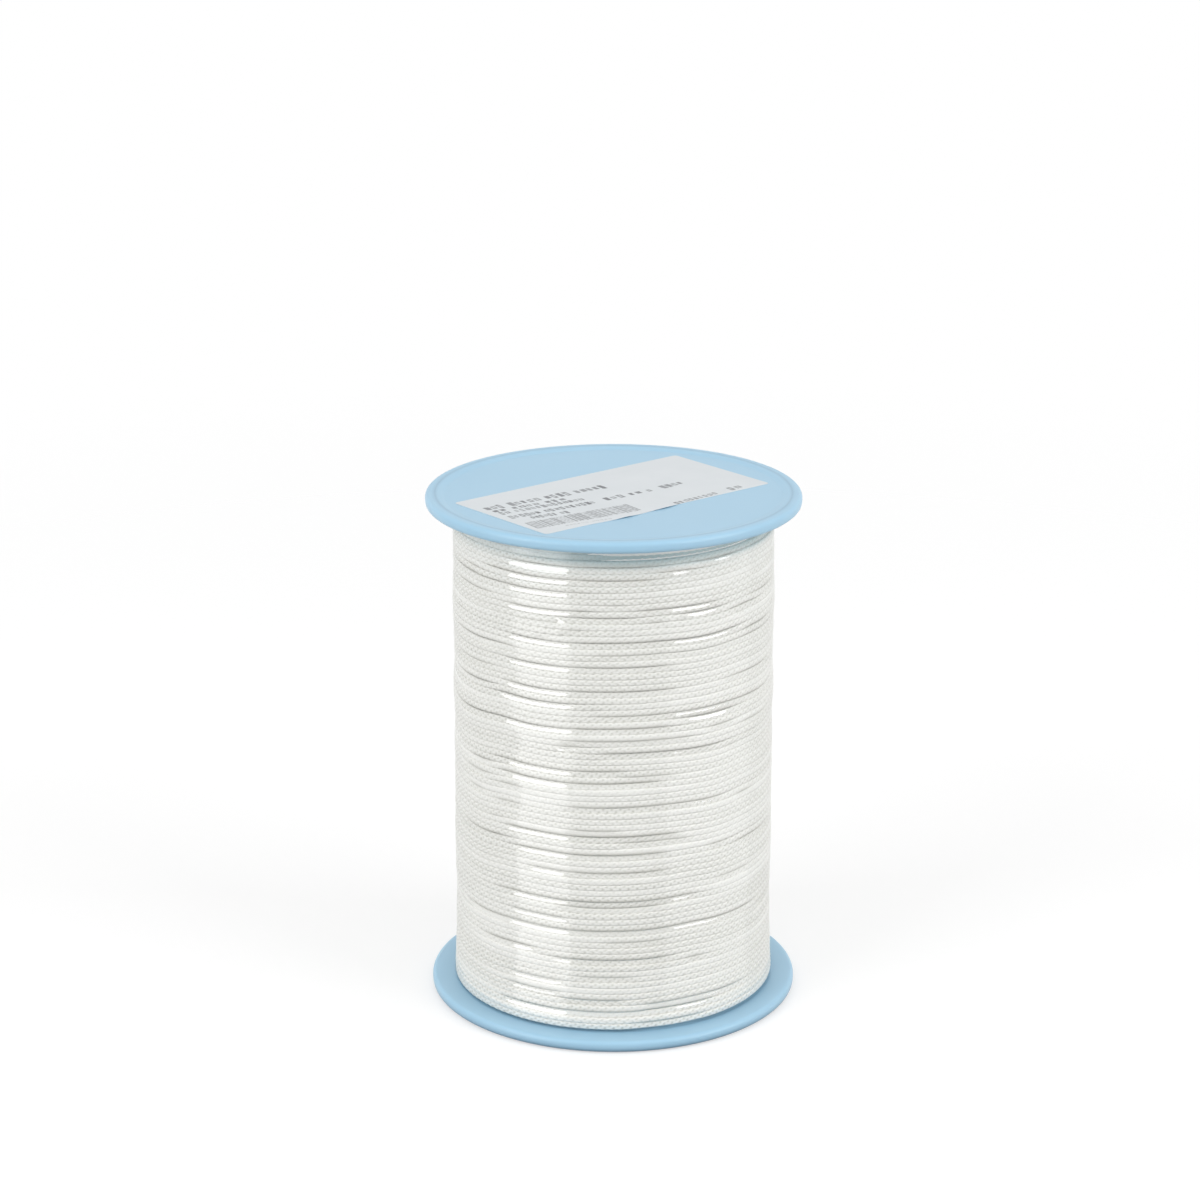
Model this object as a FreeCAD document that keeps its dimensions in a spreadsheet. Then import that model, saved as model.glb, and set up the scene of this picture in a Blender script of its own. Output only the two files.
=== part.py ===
# A reel of braided cord: two moulded flanges pressed into the ends of a cardboard tube, the cord
# wound on the tube in layers, clear film round the winding and a label on the upper flange.
#
# Millimetres. +Z runs up the reel's axis, and the origin is the middle of the face it stands on.

import FreeCAD, Part

import math
import os
import re

import Sketcher

SHEET = "dimensions"

# Every size that can be set by itself, in millimetres and degrees.
DIMENSIONS = {
    # Outside of the reel
    "reel_height": 133.0,
    "flange_diameter": 95.0,
    # Flange disc and its round rim
    "rim_thickness": 3.0,
    "rim_land": 1.0,
    "face_recess": 0.6,
    "recess_slope": 2.4,
    # Flange hub, which turns on the user's spindle
    "spindle_bore": 16.0,
    "bore_chamfer": 0.6,
    "hub_wall": 3.0,
    "hub_depth": 12.0,
    "web_count": 6,
    "web_thickness": 1.2,
    "web_depth": 9.0,
    # Flange collar, which plugs into the tube
    "collar_wall": 1.8,
    "collar_depth": 15.0,
    "collar_chamfer": 0.8,
    "collar_clearance": 0.3,
    "rib_count": 8,
    "rib_width": 0.8,
    "rib_clearance": 0.05,
    # Tube
    "tube_diameter": 45.0,
    "tube_wall": 2.0,
    # Tape over the cord's inner end
    "tape_clearance": 0.03,
    "tape_thickness": 0.15,
    "tape_width": 12.0,
    "tape_height": 8.0,
    "tape_angle": 75.0,
    # Winding
    "winding_diameter": 81.6,
    "winding_seat": 0.05,
    "cord_diameter": 1.5,
    "cord_flat": 0.3,
    "turn_pitch": 1.575,
    "valley_depth": 0.62,
    "last_turn_angle": 300.0,
    "last_turn_start": 120.0,
    "sealed_tip": 0.35,
    # Film round the winding
    "film_thickness": 0.15,
    "film_clearance": 0.05,
    "film_margin": 0.2,
    # Label
    "label_length": 73.0,
    "label_width": 36.5,
    "label_thickness": 0.1,
    "label_corner": 1.0,
    "label_shift": -0.8,
    "label_turn": 40.0,
}

# Sizes that follow from them, as formulas of the sheet's names.
FLANGE_RADIUS = "(flange_diameter / 2)"
RIM_RADIUS = "(rim_thickness / 2)"
LAND_OUTER = f"({FLANGE_RADIUS} - {RIM_RADIUS})"
LAND_INNER = f"({LAND_OUTER} - rim_land)"
BORE_RADIUS = "(spindle_bore / 2)"
HUB_RADIUS = f"({BORE_RADIUS} + hub_wall)"
TUBE_RADIUS = "(tube_diameter / 2)"
TUBE_BORE_RADIUS = f"({TUBE_RADIUS} - tube_wall)"
COLLAR_RADIUS = f"({TUBE_BORE_RADIUS} - collar_clearance)"
COLLAR_BORE_RADIUS = f"({COLLAR_RADIUS} - collar_wall)"
RIB_TIP = f"({TUBE_BORE_RADIUS} - rib_clearance)"
WINDING_WIDTH = "(reel_height - 2 * rim_thickness)"
WINDING_RADIUS = "(winding_diameter / 2)"
TAPE_INNER = f"({TUBE_RADIUS} + tape_clearance)"
WINDING_INNER = f"({TAPE_INNER} + tape_thickness + winding_seat)"
OUTER_LAYER_INNER = f"({WINDING_RADIUS} - cord_diameter)"
CORD_RADIUS = "(cord_diameter / 2)"
TURN_COUNT = f"floor({WINDING_WIDTH} / turn_pitch)"
TURN_SPACE = f"({WINDING_WIDTH} / {TURN_COUNT})"
FILM_INNER = f"({WINDING_RADIUS} + film_clearance)"

X_AXIS = FreeCAD.Vector(1, 0, 0)
Z_AXIS = FreeCAD.Vector(0, 0, 1)

doc = FreeCAD.newDocument("string_reel")


def make_sheet():
    """Write the driving dimensions into the spreadsheet, one row and one alias each."""
    sheet = doc.addObject("Spreadsheet::Sheet", SHEET)
    for row, (name, value) in enumerate(DIMENSIONS.items(), start=1):
        sheet.set(f"A{row}", name)
        sheet.set(f"B{row}", str(value))
        sheet.setAlias(f"B{row}", name)
    doc.recompute()
    return sheet


def bound(formula):
    """Point each dimension's name in a formula at its cell in the sheet."""
    names = "|".join(DIMENSIONS)
    return re.sub(rf"\b({names})\b", rf"{SHEET}.\1", formula)


def value_of(formula):
    """The number that a formula gives with the sheet as it is."""
    return float(sheet.evalExpression(bound(formula)))


def bind(thing, path, formula):
    """Tie one property of an object to a formula of the sheet's names."""
    thing.setExpression(path, bound(formula))


# --- Sketches -------------------------------------------------------------------------------------

def new_body(name):
    """An empty body whose label names the sub-part."""
    body = doc.addObject("PartDesign::Body", name)
    body.Label = name
    return body


def origin_feature(body, role):
    """One of the body's own origin planes or axes."""
    return next(item for item in body.Origin.OriginFeatures if item.Role == role)


def new_sketch(body, name, plane, height="0"):
    """A sketch on one of the body's origin planes, raised along the plane's normal."""
    sketch = body.newObject("Sketcher::SketchObject", name)
    sketch.AttachmentSupport = [(origin_feature(body, plane), "")]
    sketch.MapMode = "FlatFace"
    if height != "0":
        bind(sketch, ".AttachmentOffset.Base.z", height)
    doc.recompute()
    return sketch


def locate(sketch, geometry, vertex, across, up):
    """Place one vertex at two formulas measured from the sketch's origin."""
    for kind, formula, axis in (("DistanceX", across, -2), ("DistanceY", up, -1)):
        if formula == "0":
            sketch.addConstraint(Sketcher.Constraint("PointOnObject", geometry, vertex, axis))
        else:
            add_size(sketch, Sketcher.Constraint(kind, -1, 1, geometry, vertex, value_of(formula)), formula)


def add_size(sketch, constraint, formula):
    """Add a dimensional constraint and tie it to its formula."""
    index = sketch.addConstraint(constraint)
    name = f"size_{index}"
    sketch.renameConstraint(index, name)
    bind(sketch, f"Constraints.{name}", formula)


def arc_about(start, end, centre):
    """The shorter arc from start to end, and whether it had to be drawn from end to start."""
    first = math.atan2(start.y - centre.y, start.x - centre.x)
    last = math.atan2(end.y - centre.y, end.x - centre.x)
    backwards = (last - first) % (2 * math.pi) > math.pi + 1e-6
    if backwards:
        first, last = last, first
    circle = Part.Circle(centre, Z_AXIS, (start - centre).Length)
    return Part.ArcOfCircle(circle, first, last), backwards


def draw_outline(sketch, corners):
    """A closed outline. A corner is (across, up), or (across, up, centre across) where an arc
    with that centre runs to the next corner."""
    points = [FreeCAD.Vector(value_of(corner[0]), value_of(corner[1]), 0) for corner in corners]
    ends = []
    for index, corner in enumerate(corners):
        start = points[index]
        end = points[(index + 1) % len(points)]
        if len(corner) == 3:
            across = value_of(corner[2])
            squares = (start.x - across) ** 2 - (end.x - across) ** 2 + start.y ** 2 - end.y ** 2
            centre = FreeCAD.Vector(across, squares / (2 * (start.y - end.y)), 0)
            arc, backwards = arc_about(start, end, centre)
            geometry = sketch.addGeometry(arc, False)
            ends.append((geometry, 2, 1) if backwards else (geometry, 1, 2))
        else:
            geometry = sketch.addGeometry(Part.LineSegment(start, end), False)
            ends.append((geometry, 1, 2))
    for index, corner in enumerate(corners):
        geometry, first, last = ends[index]
        following = ends[(index + 1) % len(ends)]
        sketch.addConstraint(Sketcher.Constraint("Coincident", geometry, last, following[0], following[1]))
        locate(sketch, geometry, first, corner[0], corner[1])
        if len(corner) == 3:
            size = Sketcher.Constraint("DistanceX", -1, 1, geometry, 3, value_of(corner[2]))
            add_size(sketch, size, corner[2])
    doc.recompute()


def draw_rectangle(sketch, left, right, bottom, top):
    """A rectangle between four formulas."""
    draw_outline(sketch, [(left, bottom), (right, bottom), (right, top), (left, top)])


def draw_circle(sketch, radius, across="0", up="0"):
    """A circle about a point given by two formulas."""
    centre = FreeCAD.Vector(value_of(across), value_of(up), 0)
    geometry = sketch.addGeometry(Part.Circle(centre, Z_AXIS, value_of(radius)), False)
    locate(sketch, geometry, 3, across, up)
    add_size(sketch, Sketcher.Constraint("Radius", geometry, value_of(radius)), radius)
    doc.recompute()


# --- Features -------------------------------------------------------------------------------------

def revolve(body, name, sketch, angle="360"):
    """Turn a sketch drawn on the XZ plane about the body's Z axis."""
    feature = body.newObject("PartDesign::Revolution", name)
    feature.Profile = sketch
    feature.ReferenceAxis = (sketch, ["V_Axis"])
    bind(feature, "Angle", angle)
    doc.recompute()
    return feature


def groove(body, name, sketch):
    """Turn a sketch about the Z axis and take it away from the body."""
    before = body.Shape.Volume
    feature = body.newObject("PartDesign::Groove", name)
    feature.Profile = sketch
    feature.ReferenceAxis = (sketch, ["V_Axis"])
    feature.Angle = 360
    doc.recompute()
    assert feature.Shape.Volume < before, f"{name} took nothing away"
    return feature


def pad(body, name, sketch, length):
    """Raise a sketch along the sketch's normal."""
    feature = body.newObject("PartDesign::Pad", name)
    feature.Profile = sketch
    bind(feature, "Length", length)
    doc.recompute()
    return feature


def bore_through(body, name, sketch):
    """Cut a sketch on the XY plane upwards through the whole body."""
    before = body.Shape.Volume
    feature = body.newObject("PartDesign::Pocket", name)
    feature.Profile = sketch
    feature.Type = "ThroughAll"
    feature.Reversed = True
    doc.recompute()
    assert feature.Shape.Volume < before, f"{name} took nothing away"
    return feature


def repeat_round(body, name, feature, count):
    """Repeat a feature evenly about the body's Z axis."""
    pattern = body.newObject("PartDesign::PolarPattern", name)
    pattern.Originals = [feature]
    pattern.Axis = (origin_feature(body, "Z_Axis"), [""])
    pattern.Angle = 360
    bind(pattern, "Occurrences", count)
    body.Tip = pattern
    doc.recompute()
    return pattern


def repeat_up(body, name, feature, length, count):
    """Repeat a feature evenly along the body's Z axis."""
    pattern = body.newObject("PartDesign::LinearPattern", name)
    pattern.Originals = [feature]
    pattern.Direction = (origin_feature(body, "Z_Axis"), [""])
    bind(pattern, "Length", length)
    bind(pattern, "Occurrences", count)
    body.Tip = pattern
    doc.recompute()
    return pattern


def round_edges(feature, radius, height):
    """Names of a feature's full-circle edges with this radius at this height."""
    names = []
    for index, edge in enumerate(feature.Shape.Edges, start=1):
        if not isinstance(edge.Curve, Part.Circle) or not edge.isClosed():
            continue
        centre = edge.Curve.Center
        if abs(edge.Curve.Radius - value_of(radius)) < 1e-4 and abs(centre.z - value_of(height)) < 1e-4:
            names.append(f"Edge{index}")
    assert names, f"no edge of radius {radius} at {height}"
    return names


def chamfer(body, name, feature, edges, size):
    """Bevel the named edges of a feature."""
    bevel = body.newObject("PartDesign::Chamfer", name)
    bevel.Base = (feature, edges)
    bind(bevel, "Size", size)
    doc.recompute()
    return bevel


# --- Sub-parts ------------------------------------------------------------------------------------

def make_flange(name):
    """One flange, with its outer face down at z = 0 and its collar and hub standing up from the
    disc. The rim is a full round with a narrow flat land, and the disc's outer face lies a
    little below that land behind a shallow curved slope."""
    body = new_body(name)

    profile = new_sketch(body, f"{name}_profile", "XZ_Plane")
    draw_outline(profile, [
        ("0", "face_recess"),
        (f"{LAND_INNER} - recess_slope", "face_recess", f"{LAND_INNER} - recess_slope"),
        (LAND_INNER, "0"),
        (LAND_OUTER, "0", LAND_OUTER),
        (LAND_OUTER, "rim_thickness"),
        ("0", "rim_thickness"),
    ])
    revolve(body, f"{name}_disc", profile)

    ring = new_sketch(body, f"{name}_collar_ring", "XY_Plane", "rim_thickness")
    draw_circle(ring, COLLAR_RADIUS)
    draw_circle(ring, COLLAR_BORE_RADIUS)
    collar = pad(body, f"{name}_collar", ring, "collar_depth")
    mouth = round_edges(collar, COLLAR_RADIUS, "rim_thickness + collar_depth")
    chamfer(body, f"{name}_collar_lead_in", collar, mouth, "collar_chamfer")

    boss = new_sketch(body, f"{name}_hub_circle", "XY_Plane", "rim_thickness")
    draw_circle(boss, HUB_RADIUS)
    pad(body, f"{name}_hub", boss, "hub_depth")

    spoke = new_sketch(body, f"{name}_web_outline", "XY_Plane", "rim_thickness")
    overlap = "0.4 * collar_wall"
    draw_rectangle(spoke, f"{HUB_RADIUS} - {overlap}", f"{COLLAR_BORE_RADIUS} + {overlap}",
                   "-web_thickness / 2", "web_thickness / 2")
    web = pad(body, f"{name}_web", spoke, "web_depth")
    repeat_round(body, f"{name}_webs", web, "web_count")

    tooth = new_sketch(body, f"{name}_rib_outline", "XY_Plane", "rim_thickness")
    draw_rectangle(tooth, f"{COLLAR_RADIUS} - collar_wall / 2", RIB_TIP,
                   "-rib_width / 2", "rib_width / 2")
    rib = pad(body, f"{name}_rib", tooth, "collar_depth - 2 * collar_chamfer")
    repeat_round(body, f"{name}_ribs", rib, "rib_count")

    hole = new_sketch(body, f"{name}_bore_circle", "XY_Plane")
    draw_circle(hole, BORE_RADIUS)
    bore = bore_through(body, f"{name}_bore", hole)
    rim = round_edges(bore, BORE_RADIUS, "face_recess")
    chamfer(body, f"{name}_bore_lead_in", bore, rim, "bore_chamfer")
    return body


def make_lower_flange():
    """The flange that the reel stands on."""
    return make_flange("lower_flange")


def make_upper_flange():
    """The same moulding, turned over on top of the tube."""
    body = make_flange("upper_flange")
    body.Placement = FreeCAD.Placement(FreeCAD.Vector(), FreeCAD.Rotation(X_AXIS, 180))
    bind(body, ".Placement.Base.z", "reel_height")
    return body


def make_core_tube():
    """The cardboard tube between the two discs, over both collars."""
    body = new_body("core_tube")
    ring = new_sketch(body, "tube_ring", "XY_Plane")
    draw_circle(ring, TUBE_RADIUS)
    draw_circle(ring, TUBE_BORE_RADIUS)
    pad(body, "tube_wall_pad", ring, WINDING_WIDTH)
    bind(body, ".Placement.Base.z", "rim_thickness")
    return body


def make_cord_start_tape():
    """A strip of tape round part of the tube, over the cord's inner end."""
    body = new_body("cord_start_tape")
    section = new_sketch(body, "tape_section", "XZ_Plane")
    draw_rectangle(section, TAPE_INNER, f"{TAPE_INNER} + tape_thickness", "0", "tape_width")
    revolve(body, "tape_strip", section, "tape_angle")
    bind(body, ".Placement.Base.z", "rim_thickness + tape_height")
    return body


def make_cord_inner_layers():
    """The layers of cord below the outermost one, as one closed ring."""
    body = new_body("cord_inner_layers")
    section = new_sketch(body, "inner_layers_section", "XZ_Plane")
    draw_rectangle(section, WINDING_INNER, OUTER_LAYER_INNER, "0", WINDING_WIDTH)
    revolve(body, "inner_layers_ring", section)
    bind(body, ".Placement.Base.z", "rim_thickness")
    return body


def make_cord_outer_layer():
    """The outermost layer but for its last turn: a ring with a valley between each two turns.
    A turn's side is round, and the film presses its crest to a narrow flat."""
    body = new_body("cord_outer_layer")
    section = new_sketch(body, "outer_layer_section", "XZ_Plane")
    draw_rectangle(section, OUTER_LAYER_INNER, WINDING_RADIUS, "0", f"({TURN_COUNT} - 1) * {TURN_SPACE}")
    revolve(body, "outer_layer_ring", section)

    # The valley lies between the first two turns, whose centres are half a turn's space below
    # and above it. Its mouth runs past the crests, so that the cut leaves no skin.
    centre = f"({WINDING_RADIUS} - sqrt({CORD_RADIUS} ^ 2 - (cord_flat / 2) ^ 2))"
    root = f"{WINDING_RADIUS} - valley_depth"
    half_root = f"({TURN_SPACE} / 2 - sqrt({CORD_RADIUS} ^ 2 - ({root} - {centre}) ^ 2))"
    half_mouth = f"({TURN_SPACE} / 2 - cord_flat / 2)"
    valley = new_sketch(body, "valley_section", "XZ_Plane")
    draw_outline(valley, [
        (root, f"{TURN_SPACE} - {half_root}"),
        (root, f"{TURN_SPACE} + {half_root}", centre),
        (WINDING_RADIUS, f"{TURN_SPACE} + {half_mouth}"),
        (f"{WINDING_RADIUS} + cord_flat", f"{TURN_SPACE} + {half_mouth}"),
        (f"{WINDING_RADIUS} + cord_flat", f"{TURN_SPACE} - {half_mouth}"),
        (WINDING_RADIUS, f"{TURN_SPACE} - {half_mouth}", centre),
    ])
    first = groove(body, "first_valley", valley)
    repeat_up(body, "valleys", first, f"({TURN_COUNT} - 3) * {TURN_SPACE}", f"{TURN_COUNT} - 2")
    bind(body, ".Placement.Base.z", "rim_thickness")
    return body


def make_cord_last_turn():
    """The cord's last turn, which lies beside the upper flange and stops at its sealed end."""
    body = new_body("cord_last_turn")
    section = new_sketch(body, "last_turn_section", "XZ_Plane")
    draw_circle(section, CORD_RADIUS, f"{WINDING_RADIUS} - {CORD_RADIUS}", f"({TURN_COUNT} - 0.5) * {TURN_SPACE}")
    turn = revolve(body, "last_turn_arc", section, "last_turn_angle")
    tips = []
    for index, edge in enumerate(turn.Shape.Edges, start=1):
        if isinstance(edge.Curve, Part.Circle) and abs(edge.Curve.Radius - value_of(CORD_RADIUS)) < 1e-4:
            tips.append(f"Edge{index}")
    chamfer(body, "sealed_tips", turn, tips, "sealed_tip")
    body.Placement = FreeCAD.Placement(FreeCAD.Vector(), FreeCAD.Rotation(Z_AXIS, 1))
    bind(body, ".Placement.Rotation.Angle", "last_turn_start")
    bind(body, ".Placement.Base.z", "rim_thickness")
    return body


def make_film_wrap():
    """The clear film round the winding, from flange to flange."""
    body = new_body("film_wrap")
    ring = new_sketch(body, "film_ring", "XY_Plane")
    draw_circle(ring, f"{FILM_INNER} + film_thickness")
    draw_circle(ring, FILM_INNER)
    pad(body, "film_sleeve", ring, f"{WINDING_WIDTH} - 2 * film_margin")
    bind(body, ".Placement.Base.z", "rim_thickness + film_margin")
    return body


def make_label():
    """The sticker on the upper flange's disc, turned about the reel's axis."""
    body = new_body("label")
    across = "label_length / 2"
    up = "label_width / 2"
    inner_across = f"({across} - label_corner)"
    inner_up = f"({up} - label_corner)"
    outline = new_sketch(body, "label_outline", "XY_Plane")
    draw_outline(outline, [
        (f"-{inner_across}", f"-{up}"),
        (inner_across, f"-{up}", inner_across),
        (across, f"-{inner_up}"),
        (across, inner_up, inner_across),
        (inner_across, up),
        (f"-{inner_across}", up, f"-{inner_across}"),
        (f"-{across}", inner_up),
        (f"-{across}", f"-{inner_up}", f"-{inner_across}"),
    ])
    pad(body, "label_sheet", outline, "label_thickness")
    body.Placement = FreeCAD.Placement(FreeCAD.Vector(), FreeCAD.Rotation(Z_AXIS, 1))
    bind(body, ".Placement.Rotation.Angle", "label_turn")
    bind(body, ".Placement.Base.y", "label_shift")
    bind(body, ".Placement.Base.z", "reel_height - face_recess")
    return body


def check_document():
    """Stop if any object failed to compute."""
    for item in doc.Objects:
        assert "Invalid" not in item.State and "Error" not in item.State, f"{item.Name}: {item.State}"


def export(bodies):
    """Check each sub-part's shape and write it to its own file."""
    os.makedirs("parts", exist_ok=True)
    for body in bodies:
        shape = body.Shape
        assert not shape.isNull() and shape.isValid(), f"{body.Label} has no valid shape"
        shape.exportStep(f"parts/{body.Label}.step")
        box = shape.BoundBox
        print(f"{body.Label:20s} solids {len(shape.Solids)}  volume {shape.Volume:10.1f}"
              f"  z {box.ZMin:7.2f} to {box.ZMax:7.2f}  x {box.XMin:7.2f} to {box.XMax:7.2f}")


sheet = make_sheet()
bodies = [
    make_lower_flange(),
    make_upper_flange(),
    make_core_tube(),
    make_cord_start_tape(),
    make_cord_inner_layers(),
    make_cord_outer_layer(),
    make_cord_last_turn(),
    make_film_wrap(),
    make_label(),
]
doc.recompute()
check_document()
export(bodies)
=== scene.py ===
import itertools
import math

import bpy
import numpy as np
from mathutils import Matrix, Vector


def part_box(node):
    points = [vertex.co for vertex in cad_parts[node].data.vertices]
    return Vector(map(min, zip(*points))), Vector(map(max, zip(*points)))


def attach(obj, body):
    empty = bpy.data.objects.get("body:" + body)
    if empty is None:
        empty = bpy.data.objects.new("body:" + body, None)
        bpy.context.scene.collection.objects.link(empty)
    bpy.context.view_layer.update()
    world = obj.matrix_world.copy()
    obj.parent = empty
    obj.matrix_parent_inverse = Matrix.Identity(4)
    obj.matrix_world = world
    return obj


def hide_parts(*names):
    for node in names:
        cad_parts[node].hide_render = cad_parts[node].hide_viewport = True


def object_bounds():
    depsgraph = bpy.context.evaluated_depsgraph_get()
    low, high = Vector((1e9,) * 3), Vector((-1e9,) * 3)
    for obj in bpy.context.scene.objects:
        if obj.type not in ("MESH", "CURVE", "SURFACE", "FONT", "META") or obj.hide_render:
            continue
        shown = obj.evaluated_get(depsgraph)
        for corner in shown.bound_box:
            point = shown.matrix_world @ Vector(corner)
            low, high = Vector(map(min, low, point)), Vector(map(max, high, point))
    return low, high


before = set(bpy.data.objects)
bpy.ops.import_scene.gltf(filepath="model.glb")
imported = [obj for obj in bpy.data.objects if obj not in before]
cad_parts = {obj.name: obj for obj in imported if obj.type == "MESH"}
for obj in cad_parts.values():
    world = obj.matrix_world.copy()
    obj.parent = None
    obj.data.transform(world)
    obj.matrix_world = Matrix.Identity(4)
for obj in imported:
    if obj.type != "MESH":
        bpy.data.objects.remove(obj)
cad_low, cad_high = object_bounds()

MM = 0.001

# Sizes of the CAD model that its boxes don't give, in millimetres.
RIM_THICKNESS = 3.0
RIM_LAND = 1.0
RECESS_DEPTH = 0.6
RECESS_SLOPE = 2.4
BORE_RADIUS = 8.0
BORE_CHAMFER = 0.6
HUB_WALL = 3.0
HUB_DEPTH = 12.0
WEB_COUNT = 6
WEB_THICKNESS = 1.2
WEB_DEPTH = 9.0
TUBE_WALL = 2.0
TAPE_AND_GAPS = 0.25
COLLAR_WALL = 1.8
COLLAR_CLEARANCE = 0.3
COLLAR_CHAMFER = 0.8
RIB_COUNT = 8
RIB_WIDTH = 0.8
RIB_DEPTH = 0.6
RIB_CLEARANCE = 0.06
RIB_END = 1.0
LABEL_LENGTH = 73.0
LABEL_WIDTH = 36.5
LABEL_CORNER = 1.0
LABEL_THICKNESS = 0.1
LABEL_SHIFT = -0.8
LABEL_TURN = math.radians(40.0)
LAST_TURN_START = math.radians(120.0)
LAST_TURN_SHARE = 300.0 / 360.0

# More sizes, read from the boxes.
lower_low, lower_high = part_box("lower_flange")
tube_low, tube_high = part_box("core_tube")
winding_low, winding_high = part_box("cord_inner_layers")
turns_low, turns_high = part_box("cord_outer_layer")
label_low, label_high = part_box("label")
REEL_HEIGHT = (cad_high.z - cad_low.z) / MM
FLANGE_RADIUS = (lower_high.x - lower_low.x) / 2 / MM
FLANGE_DEPTH = (lower_high.z - lower_low.z) / MM
TUBE_BORE_RADIUS = (tube_high.x - tube_low.x) / 2 / MM - TUBE_WALL
COLLAR_RADIUS = TUBE_BORE_RADIUS - COLLAR_CLEARANCE
WINDING_BOTTOM = winding_low.z / MM
WINDING_TOP = winding_high.z / MM
INNER_RADIUS = (winding_high.x - winding_low.x) / 2 / MM
TURNS_RADIUS = (turns_high.x - turns_low.x) / 2 / MM
LABEL_BASE = label_low.z / MM

# The rim's section is squarer than a half circle: the power of its sine, and its points.
RIM_POWER = 0.75
RIM_STEPS = 17

# The winding: its turns, the place of the cord's end in turns, the height of the first turn's middle
# over the flange, the points of the cord's path and the rings of its mesh in a turn, and the pieces
# that the turns are cut into.
TURNS = 80
CORD_END = TURNS - 1 + LAST_TURN_SHARE
END_SPACE = 0.8
PATH_STEPS = 240
RINGS_PER_TURN = 960
TURN_PIECES = 12

# The cord's section: its radius, how much it spreads up and down, how square it is pressed, the height
# that a turn needs, the directions of a ring's points, and the length of its cut tip in turns.
CORD_RADIUS = 0.75
CORD_SPREAD = 1.14
SECTION_POWER = 5.6
TURN_SPACE = 1.49
RING_ANGLES = np.radians([-110, -88, -66, -44, -22, 0, 22, 44, 66, 88, 110, 140, 180, 220])
CORD_TIP = 0.0012

# The braid has four strands each way: the length of one repeat, half a strand's width, how far a
# strand's middle stands out, and how far a strand rises where it crosses over another.
BRAID_PERIOD = 2.1
STRAND_HALF_WIDTH = 0.42
STRAND_BULGE = 0.2
STRAND_RISE = 0.07

# A groove's tooth: how far it reaches below the groove's middle and above it.
TOOTH_BELOW = 1.35
TOOTH_ABOVE = 0.45

# The film: its grid, the radius of the ball that it bridges the turns like where it is taut and where
# it dips, its distance from the cord, and its waves round the winding, as counts and seeds.
FILM_ROWS = 520
FILM_COLUMNS = 190
TAUT_BALL = 6.0
SNUG_BALL = 0.8
FILM_GAP = 0.05
FILM_WAVES = ((9, 21), (14, 22), (23, 23), (31, 24))


# --- Meshes ---------------------------------------------------------------------------------------

def make_mesh(name, points, faces, material, uv=None):
    """A smooth mesh object from points in millimetres and quads."""
    mesh = bpy.data.meshes.new(name)
    mesh.vertices.add(len(points))
    mesh.vertices.foreach_set("co", (points * MM).astype(np.float32).ravel())
    mesh.loops.add(faces.size)
    mesh.loops.foreach_set("vertex_index", faces.astype(np.int32).ravel())
    mesh.polygons.add(len(faces))
    mesh.polygons.foreach_set("loop_start", np.arange(0, faces.size, faces.shape[1], dtype=np.int32))
    mesh.update(calc_edges=True)
    mesh.validate()
    mesh.shade_smooth()
    if uv is not None:
        layer = mesh.uv_layers.new(name="OFBake")
        layer.uv.foreach_set("vector", uv.astype(np.float32).ravel())
    mesh.materials.append(material)
    piece = bpy.data.objects.new(name, mesh)
    bpy.context.scene.collection.objects.link(piece)
    return piece


def grid_faces(rows, columns, wrap_rows, wrap_columns):
    """Quads over a grid of points, joined round where asked, with each corner's row and column."""
    row = np.arange(rows if wrap_rows else rows - 1)
    column = np.arange(columns if wrap_columns else columns - 1)
    row, column = (numbers.ravel() for numbers in np.meshgrid(row, column, indexing="ij"))
    corner_rows = np.stack([row, row, row + 1, row + 1], 1)
    corner_columns = np.stack([column, column + 1, column + 1, column], 1)
    return (corner_rows % rows) * columns + corner_columns % columns, corner_rows, corner_columns


def grid_piece(name, points, material, bands=1):
    """A piece from rings of points. Its UV map lays the rings along U, folded into bands."""
    rows, columns = points.shape[:2]
    faces, corner_rows, corner_columns = grid_faces(rows, columns, False, True)
    band_rows = math.ceil((rows - 1) / bands)
    band = corner_rows[:, :1] // band_rows
    across = (corner_rows - band * band_rows) / band_rows
    up = (band + 0.04 + 0.92 * corner_columns / columns) / bands
    uv = np.stack([0.005 + 0.99 * across, up], -1)
    return make_mesh(name, points.reshape(-1, 3), faces, material, uv)


def joined(name, parts, material):
    """One smooth piece from several sets of points and quads, with sharp edges kept sharp."""
    points, faces, start = [], [], 0
    for part_points, part_faces in parts:
        points.append(part_points)
        faces.append(part_faces + start)
        start += len(part_points)
    piece = make_mesh(name, np.concatenate(points), np.concatenate(faces), material)
    piece.data.set_sharp_from_angle(angle=math.radians(40))
    return piece


def mark_points(mesh, name, values):
    """Give each point of a mesh a value that its material reads."""
    attribute = mesh.attributes.new(name, "FLOAT", "POINT")
    attribute.data.foreach_set("value", np.asarray(values, np.float32).ravel())


def around_axis(distance, angle, height):
    """Points from their distances from the Z axis, angles round it and heights."""
    places = np.broadcast_arrays(distance * np.cos(angle), distance * np.sin(angle), height)
    return np.stack(places, -1)


def ring_of_boxes(count, inner, outer, width, heights):
    """Boxes round the Z axis that reach from one radius and height to another."""
    places = itertools.product(sorted(heights), (-width / 2, width / 2), (inner, outer))
    corners = np.array([(x, y, z) for z, y, x in places])
    faces = np.array([[0, 2, 3, 1], [4, 5, 7, 6], [0, 1, 5, 4], [2, 6, 7, 3], [0, 4, 6, 2], [1, 3, 7, 5]])
    boxes = []
    for index in range(count):
        turn = 2 * math.pi * index / count
        cos, sin = math.cos(turn), math.sin(turn)
        boxes.append((corners @ np.array([[cos, sin, 0], [-sin, cos, 0], [0, 0, 1]]), faces))
    return boxes


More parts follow.
